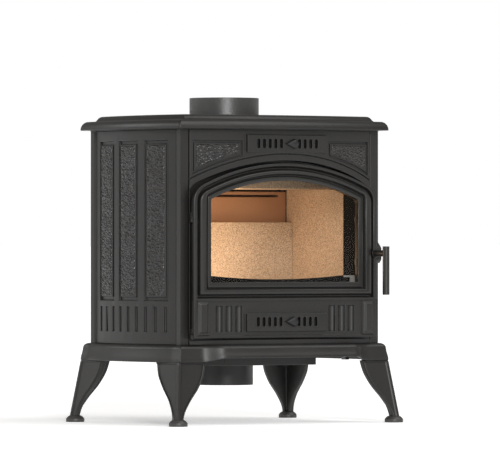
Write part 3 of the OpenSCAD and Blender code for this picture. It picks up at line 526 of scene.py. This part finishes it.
outer = top_outline(0)
hollow = to_rectangle(outer, (0, flue_y), (-hollow_x, -hollow_y), (hollow_x, hollow_y))
lip = [(12.3 * (1 - cos(a)), lip_low + 1.2 + (ledge_high - lip_low - 1.2) * sin(a))
       for a in (i * pi / 24 for i in range(13))]
profile = [(16, top_low.z), (16, lip_low), (1.2, lip_low), (0.3, lip_low + 0.3)] + lip + [
    (21.5, ledge_high + 0.2), (23.5, ledge_high + 0.9), (25.2, ledge_high + 2.6), (26.8, ledge_high + 5.4),
    (28.8, ledge_high + 8.2), (31.5, ledge_high + 10.2), (35, top_high.z)]
rings = [[(x, y, top_low.z) for x, y in hollow]]
rings += [[(x, y, z) for x, y in top_outline(inset)] for inset, z in profile]
hole = [(hole_radius + 2, top_high.z), (hole_radius, top_high.z - 1.5), (hole_radius, top_high.z - top_wall)]
rings += [[(x, y, z) for x, y in to_circle(outer, radius)] for radius, z in hole]
rings += [[(x, y, top_high.z - top_wall) for x, y in hollow], rings[0]]
mesh = bmesh.new()
loops = drawn_rings(mesh, rings)
round_corners(mesh, loops[3:len(profile)])
finish_piece("top_casting", mesh, painted_iron, "stove", ["top_plate"], 40)


# Air box and intake: folded steel sheet with a welded spigot for the outside air hose, under the
# hearth. The sheet is black by rolling scale and a thin coat, smoother than the castings.
def sheet_steel(name, colour, paler, roughness, metallic):
    material, tree = new_material(name)
    place = add_node(tree, "ShaderNodeTexCoord")
    cloud = add_node(tree, "ShaderNodeTexNoise", Vector=(place, "Object"), Scale=14.0, Detail=5.0)
    fine = add_node(tree, "ShaderNodeTexNoise", Vector=(place, "Object"), Scale=500.0, Detail=2.0)
    tone = add_node(tree, "ShaderNodeMixRGB", _0=(cloud, "Fac"), _1=to_linear(colour), _2=to_linear(paler))
    sheen = add_node(tree, "ShaderNodeMapRange", _0=(cloud, "Fac"), _1=0.3, _2=0.7, _3=roughness - 0.08,
                     _4=roughness + 0.08)
    bump = add_node(tree, "ShaderNodeBump", Height=(fine, "Fac"), Strength=0.15, Distance=0.0002)
    shader = add_node(tree, "ShaderNodeBsdfPrincipled", Base_Color=(tone, "Color"), Metallic=metallic,
                      Roughness=(sheen, "Result"), Normal=(bump, "Normal"))
    add_node(tree, "ShaderNodeOutputMaterial", Surface=(shader, "BSDF"))
    return material


black_sheet = sheet_steel("black_rolled_steel_sheet", "#1C1C1C", "#262524", 0.45, 0.0)
for node, name, radius in (("air_box", "wind_box", 1.0), ("air_intake_pipe", "intake_pipe", 0.6),
                           ("smoke_deflector", "deflector_plate", 0.8),
                           ("deflector_brackets", "deflector_supports", 0.5), ("ash_pan", "ash_drawer", 0.5),
                           ("ash_pan_rails", "ash_drawer_rails", 0.6),
                           ("upper_slider_guides", "upper_guides", 0.4)):
    softened(node, name, black_sheet, "stove", radius)
softened("lower_slider_guides", "lower_guides", black_sheet, "door", 0.4)
softened("upper_air_slider", "upper_shutter", black_sheet, "upper_slider", 0.3)
softened("lower_air_slider", "lower_shutter", black_sheet, "lower_slider", 0.3)


# Fasteners: zinc-plated steel bolts, nuts, tie rods, pins and screws, with the grey sheen that
# plating has, and the forged pawl. They keep the frame's own shape.
zinc_plate = sheet_steel("zinc_plated_steel", "#8C8D90", "#A7A8AA", 0.35, 1.0)


def keep_node(material, *nodes):
    for node in nodes:
        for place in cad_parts[node].material_slots:
            place.material = material


keep_node(zinc_plate, "leg_bolts", "collar_bolts", "tie_rods", "tie_rod_nuts", "hinge_pins", "latch_pawl",
          "pawl_nut")
keep_node(black_sheet, "glass_clips", "clip_screws")


# Door. One casting with an arched opening: a rim line, a deep groove, a rounded band, a second
# groove and the lip round the glass, and below it a panel with pilasters, flutes and the housing
# of the air shutter. The mouldings are drawn through outlines that are set in step by step.
door_half, panel_top_z, door_apex, door_arch, door_fillet = 235.5, 265, 556.5, 504, 40
stations = [(0, 0, 0), (9.5, 6.5, 4.7), (15.5, 15, 13), (32, 23, 23.4), (37.5, 29, 27.3), (46, 37, 38)]
door_back, rim_back, rebate_level = 3, 13.5, 15.2
moulding = [(1, door_back), (1, rim_back), (0, rim_back), (0, 22.4), (0.08, 23.4), (0.24, 24), (0.76, 24.1),
            (0.93, 23.5), (1.05, 21.5), (1.2, 15.4), (1.42, 13.9), (1.7, 14.2), (1.88, 17), (1.95, 22.5),
            (2.03, 24.8), (2.14, 26), (2.35, 26.8), (2.65, 26.8), (2.86, 26), (2.97, 24.6), (3.08, 20),
            (3.3, 16.9), (3.6, 16.6), (3.82, 18), (3.95, 20), (4.15, 21.1), (4.5, 21), (4.92, 20.2),
            (5, 19.4), (5, rebate_level), (4.2, rebate_level), (4.2, door_back), (1, door_back)]


def arch_outline(half, foot, apex, radius, fillet):
    """Points of an arch-topped outline, from the foot on the right over the crown to the left."""
    crown_z, fillet_x = apex - radius, half - fillet
    fillet_z = crown_z + sqrt((radius - fillet) ** 2 - fillet_x ** 2)
    turn = atan2(fillet_z - crown_z, fillet_x)
    right = [(fillet_x + fillet * cos(a), fillet_z + fillet * sin(a))
             for a in (turn * i / 10 for i in range(10))]
    crown = [turn + (pi - 2 * turn) * i / 64 for i in range(65)]
    return ([(half, foot)] + right + [(radius * cos(a), crown_z + radius * sin(a)) for a in crown]
            + [(-x, z) for x, z in reversed(right)] + [(-half, foot)])


def door_outline(station):
    index = min(int(station), len(stations) - 2)
    side, top, low = (a + (b - a) * (station - index) for a, b in zip(stations[index], stations[index + 1]))
    return arch_outline(door_half - side, panel_top_z + low, door_apex - top, door_arch - top,
                        max(door_fillet - side, 6))


def on_front(x, level, z):
    """A point at a level in front of the flat face of the body, in millimetres."""
    return x, -half_depth - level, z


def add_lump(mesh, lump):
    """Adds the faces of one drawn mesh to another."""
    data = bpy.data.meshes.new("lump")
    lump.to_mesh(data)
    lump.free()
    mesh.from_mesh(data)
    bpy.data.meshes.remove(data)


def laid_turning(mesh, profile, x, z):
    """Turns a profile of (radius, level) points about an axis that runs from back to front."""
    lump = bmesh.new()
    turned(lump, profile, (0, 0, 0), 48)
    bmesh.ops.transform(lump, verts=lump.verts,
                        matrix=Matrix.Translation(on_front(x, 0, z)) @ Matrix.Rotation(radians(90), 4, "X"))
    add_lump(mesh, lump)


mesh = bmesh.new()
drawn_rings(mesh, [[on_front(x, level, z) for x, z in door_outline(station)] for station, level in moulding])
bmesh.ops.remove_doubles(mesh, verts=mesh.verts, dist=0.01)
hinge_x, hinge_level, upper_knuckle, knuckle_radius, knuckle_high = -230, 11, 440, 6, 12
turned(mesh, [(0, 0), (knuckle_radius - 0.6, 0), (knuckle_radius, 0.6), (knuckle_radius, knuckle_high - 0.6),
              (knuckle_radius - 0.6, knuckle_high), (0, knuckle_high)],
       on_front(hinge_x, hinge_level, upper_knuckle), 32)
latch_x, latch_z, arm_level = 228, 364.4, 29
laid_turning(mesh, [(0, 20), (7.4, 20), (7.4, 26.6), (6.6, 28), (0, 28)], latch_x, latch_z)
bmesh.ops.transform(mesh, verts=mesh.verts, matrix=to_metres)
bmesh.ops.recalc_face_normals(mesh, faces=mesh.faces)
lower = frame_copy("door_casting")
bmesh.ops.bisect_plane(lower, geom=list(lower.verts) + list(lower.edges) + list(lower.faces),
                       plane_co=(0, 0, (panel_top_z + 0.3) * MM), plane_no=(0, 0, 1), clear_outer=True)
bmesh.ops.holes_fill(lower, edges=lower.edges, sides=0)
bmesh.ops.join_triangles(lower, faces=lower.faces, angle_face_threshold=radians(0.5),
                         angle_shape_threshold=radians(180))
rounded(lower, 0.9)
add_lump(mesh, lower)
door = finish_piece("door_leaf", mesh, painted_iron, "door", ["door_casting"], 50,
                    in_mm=False)

# the recess for the pawl behind the rim, and the room for the fixed lug of the upper hinge
mesh = bmesh.new()
laid_turning(mesh, [(0, -1), (13.5, -1), (13.5, rim_back), (0, rim_back)], latch_x, latch_z)
add_block(mesh, on_front(hinge_x - 9.5, 18.5, upper_knuckle - 13.1),
          on_front(hinge_x + 6.5, -1, upper_knuckle - 0.1))
bmesh.ops.transform(mesh, verts=mesh.verts, matrix=to_metres)
bmesh.ops.recalc_face_normals(mesh, faces=mesh.faces)
data = bpy.data.meshes.new("recesses")
mesh.to_mesh(data)
mesh.free()
recesses = bpy.data.objects.new("recesses", data)
bpy.context.collection.objects.link(recesses)
cut = door.modifiers.new("recesses", "BOOLEAN")
cut.operation, cut.solver, cut.object = "DIFFERENCE", "EXACT", recesses
door.modifiers.move(1, 0)
even = door.modifiers[1]
even.show_viewport = False
carved = bpy.data.meshes.new_from_object(door.evaluated_get(bpy.context.evaluated_depsgraph_get()))
door.modifiers.remove(door.modifiers["recesses"])
even.show_viewport = True
door.data = carved
bpy.data.objects.remove(recesses)


# Air knobs: small castings in the shape of a domed drop, enamelled black. Each sits on a stem that
# goes through the slotted face and slides the plate behind it.
def satin_enamel(name, colour, roughness):
    material, tree = new_material(name)
    place = add_node(tree, "ShaderNodeTexCoord")
    ripple = add_node(tree, "ShaderNodeTexNoise", Vector=(place, "Object"), Scale=260.0, Detail=2.0)
    wipe = add_node(tree, "ShaderNodeTexNoise", Vector=(place, "Object"), Scale=40.0, Detail=3.0)
    sheen = add_node(tree, "ShaderNodeMapRange", _0=(wipe, "Fac"), _1=0.3, _2=0.7, _3=roughness - 0.06,
                     _4=roughness + 0.06)
    bump = add_node(tree, "ShaderNodeBump", Height=(ripple, "Fac"), Strength=0.12, Distance=0.0003)
    tone = add_node(tree, "ShaderNodeMixRGB", _0=(wipe, "Fac"), _1=to_linear(colour), _2=to_linear("#1A1A1A"))
    shader = add_node(tree, "ShaderNodeBsdfPrincipled", Base_Color=(tone, "Color"),
                      Roughness=(sheen, "Result"), Normal=(bump, "Normal"))
    add_node(tree, "ShaderNodeOutputMaterial", Surface=(shader, "BSDF"))
    return material


black_enamel = satin_enamel("satin_black_enamel", "#070707", 0.5)
knob_radius, knob_nose, knob_stem, stem_in = 10, 23, 3.5, 5
dome = [(0.86, 7.6), (0.97, 7.4), (1, 6.8), (1, 5.2), (0.95, 3.4), (0.84, 1.8), (0.66, 0.7), (0.4, 0.15),
        (0.12, 0)]
for node, name, body in (("upper_air_knob", "upper_knob", "upper_slider"),
                         ("lower_air_knob", "lower_knob", "lower_slider")):
    low, high = box_mm(node)
    centre_x, centre_z = high.x - knob_radius, (low.z + high.z) / 2
    touch = knob_radius / knob_nose
    start = atan2(sqrt(1 - touch ** 2), -touch)
    turns = [start - (2 * start) * i / 36 for i in range(37)]
    flat = [(knob_radius * cos(a), knob_radius * sin(a)) for a in turns]
    tail = [(-knob_nose * t + flat[-1][0] * (1 - t), flat[-1][1] * (1 - t)) for t in (0.3, 0.6, 0.9)]
    outline = flat + tail + [(-knob_nose, 0)] + [(x, -y) for x, y in reversed(tail)]
    mesh = bmesh.new()
    drawn_rings(mesh, [[(centre_x + x * share, low.y + back, centre_z + y * share) for x, y in outline]
                       for share, back in dome])
    bmesh.ops.holes_fill(mesh, edges=mesh.edges, sides=0)
    stem_place = Matrix.Translation((centre_x, (high.y + low.y + stem_in) / 2, centre_z))
    bmesh.ops.create_cone(mesh, cap_ends=True, segments=32, radius1=knob_stem, radius2=knob_stem,
                          depth=high.y - low.y - stem_in, matrix=stem_place @ Matrix.Rotation(pi / 2, 4, "X"))
    finish_piece(name, mesh, black_enamel, body, [node], 40)


# Handle: a turned shaft through the door with a thick arm, and an upright grip of enamelled steel
# tube at its end.
arm_radius, shaft_radius, neck = 7.8, 5, 0.9
grip_level, grip_radius, grip_long, grip_up = 68, 7.5, 104, 15
mesh = bmesh.new()
laid_turning(mesh, [(0, 3.5), (shaft_radius, 3.5), (shaft_radius, arm_level), (arm_radius - 0.8, arm_level),
                    (arm_radius, arm_level + 0.8), (arm_radius, arm_level + 5),
                    (arm_radius - neck, arm_level + 6.4), (arm_radius - neck, grip_level), (0, grip_level)],
             latch_x, latch_z)
finish_piece("handle_arm", mesh, painted_iron, "handle", ["door_handle"], 40)
mesh = bmesh.new()
turned(mesh, [(0, 0), (grip_radius - 1, 0), (grip_radius - 0.3, 0.3), (grip_radius, 1),
              (grip_radius, grip_long - 1), (grip_radius - 0.3, grip_long - 0.3),
              (grip_radius - 1, grip_long), (0, grip_long)],
       on_front(latch_x, grip_level, latch_z + grip_up - grip_long), 64)
grip_enamel = satin_enamel("satin_grey_enamel", "#201F1D", 0.38)
finish_piece("grip", mesh, grip_enamel, "handle", ["handle_grip"], 40)


# Glass: a clear glass-ceramic pane, 4 mm thick with a faint grey body, clamped on a flat gasket of
# glass-fibre tape. It is smooth and shows soft reflections.
material, tree = new_material("clear_glass_ceramic")
place = add_node(tree, "ShaderNodeTexCoord")
haze = add_node(tree, "ShaderNodeTexNoise", Vector=(place, "Object"), Scale=6.0, Detail=3.0)
film = add_node(tree, "ShaderNodeMapRange", _0=(haze, "Fac"), _1=0.3, _2=0.7, _3=0.02, _4=0.06)
shader = add_node(tree, "ShaderNodeBsdfPrincipled", Base_Color=to_linear("#1A1712"),
                  Roughness=(film, "Result"), IOR=1.5, Alpha=0.14)
add_node(tree, "ShaderNodeOutputMaterial", Surface=(shader, "BSDF"))
keep_node(material, "door_glass")


# Rope seal: knitted glass-fibre rope, black-grey, pressed into a channel round the back of the
# door, and the flat tape of the same yarn behind the glass. The yarn's ribs are 2.5 mm apart.
def fibre(name, colour, paler):
    material, tree = new_material(name)
    place = add_node(tree, "ShaderNodeTexCoord")
    ribs = add_node(tree, "ShaderNodeTexWave", {"wave_type": "BANDS", "bands_direction": "DIAGONAL"},
                    Vector=(place, "Object"), Scale=130.0, Distortion=1.5, Detail=2.0)
    yarn = add_node(tree, "ShaderNodeTexNoise", Vector=(place, "Object"), Scale=700.0, Detail=3.0)
    tone = add_node(tree, "ShaderNodeMixRGB", _0=(ribs, "Fac"), _1=to_linear(colour), _2=to_linear(paler))
    bump = add_node(tree, "ShaderNodeBump", Height=(ribs, "Fac"), Strength=0.5, Distance=0.0008)
    fuzz = add_node(tree, "ShaderNodeBump", Height=(yarn, "Fac"), Strength=0.4, Distance=0.0003,
                    Normal=(bump, "Normal"))
    shader = add_node(tree, "ShaderNodeBsdfPrincipled", Base_Color=(tone, "Color"), Roughness=0.9,
                      Normal=(fuzz, "Normal"))
    add_node(tree, "ShaderNodeOutputMaterial", Surface=(shader, "BSDF"))
    return material


softened("door_rope_seal", "rope_seal", fibre("knitted_glass_fibre_rope", "#37352F", "#5B574E"), "door",
         2.6, 3)
softened("glass_gasket", "glass_tape", fibre("glass_fibre_tape", "#4A4740", "#6E695F"), "door",
         0.3)


# Fire bricks: pressed vermiculite board, a soft tan board of gold flakes about 2 mm across, with
# darker binder between them. The bricks and the smoke baffle are cut from it with plain edges.
material, tree = new_material("pressed_vermiculite_board")
place = add_node(tree, "ShaderNodeTexCoord")
flakes = add_node(tree, "ShaderNodeTexVoronoi", Vector=(place, "Object"), Scale=560.0)
drift = add_node(tree, "ShaderNodeTexNoise", Vector=(place, "Object"), Scale=11.0, Detail=4.0)
grit = add_node(tree, "ShaderNodeTexNoise", Vector=(place, "Object"), Scale=420.0, Detail=4.0)
flake_tone = add_node(tree, "ShaderNodeSeparateColor", Color=(flakes, "Color"))
board = add_node(tree, "ShaderNodeMixRGB", _0=(drift, "Fac"), _1=to_linear("#B59A7C"),
                 _2=to_linear("#D2B99B"))
gold = add_node(tree, "ShaderNodeMapRange", _0=(flake_tone, "Red"), _3=0.62, _4=1.25)
flaked = add_node(tree, "ShaderNodeMixRGB", {"blend_type": "MULTIPLY"}, _0=1.0, _1=(board, "Color"),
                  _2=(gold, "Result"))
binder = add_node(tree, "ShaderNodeMapRange", _0=(grit, "Fac"), _1=0.35, _2=0.65, _3=0.8, _4=1.12)
speckled = add_node(tree, "ShaderNodeMixRGB", {"blend_type": "MULTIPLY"}, _0=1.0, _1=(flaked, "Color"),
                    _2=(binder, "Result"))
rough_face = add_node(tree, "ShaderNodeBump", Height=(flakes, "Distance"), Strength=0.15, Distance=0.0005)
shader = add_node(tree, "ShaderNodeBsdfPrincipled", Base_Color=(speckled, "Color"), Roughness=0.85,
                  Normal=(rough_face, "Normal"))
add_node(tree, "ShaderNodeOutputMaterial", Surface=(shader, "BSDF"))
for node, name in (("left_fire_brick", "left_brick"), ("right_fire_brick", "right_brick"),
                   ("back_fire_brick", "back_brick"), ("smoke_baffle", "baffle_board")):
    softened(node, name, material, "stove", 1.5)


# Hearth castings: fire bed, grate, cheeks and log guard, of unpainted iron blackened by soot, which
# is quite without shine. The galvanised bracket holds the end of the guard to the front frame, and
# the duct that feeds air over the fire is sheet steel browned by the heat.
sooty_iron = stove_paint("soot_on_cast_iron", "#171615", "#1F1D1B", 0.9, 0.05, 0.0)
for node, name, radius in (("fire_bed", "hearth", 1.2), ("grate", "fire_grate", 1.0),
                           ("front_cheeks", "cheeks", 0.8), ("log_guard", "log_fence", 1.0)):
    softened(node, name, sooty_iron, "stove", radius)
galvanised_steel = sheet_steel("galvanised_steel_sheet", "#B5B1A8", "#CBC8C0", 0.4, 0.2)
browned_steel = sheet_steel("heat_browned_steel", "#A07656", "#BC916C", 0.5, 0.2)
softened("guard_bracket", "fence_bracket", galvanised_steel, "stove", 0.4)
softened("rear_air_duct", "rear_duct", browned_steel, "stove", 0.8)


# Glow: the light that a fire throws on the bricks. One warm lamp hangs low over the grate, where the
# embers lie, and a weaker one higher up on the left, where the flames reach.
for name, place, power in (("ember_light", (0, mid_y - 0.03, 0.32), 1.0),
                           ("flame_light", (-0.06, mid_y - 0.05, 0.44), 0.9)):
    data = bpy.data.lights.new(name, "POINT")
    data.energy = power
    data.color = to_linear("#FFE2C4")[:3]
    data.shadow_soft_size = 0.05
    lamp = bpy.data.objects.new(name, data)
    bpy.context.collection.objects.link(lamp)
    lamp.location = place

bpy.context.view_layer.update()
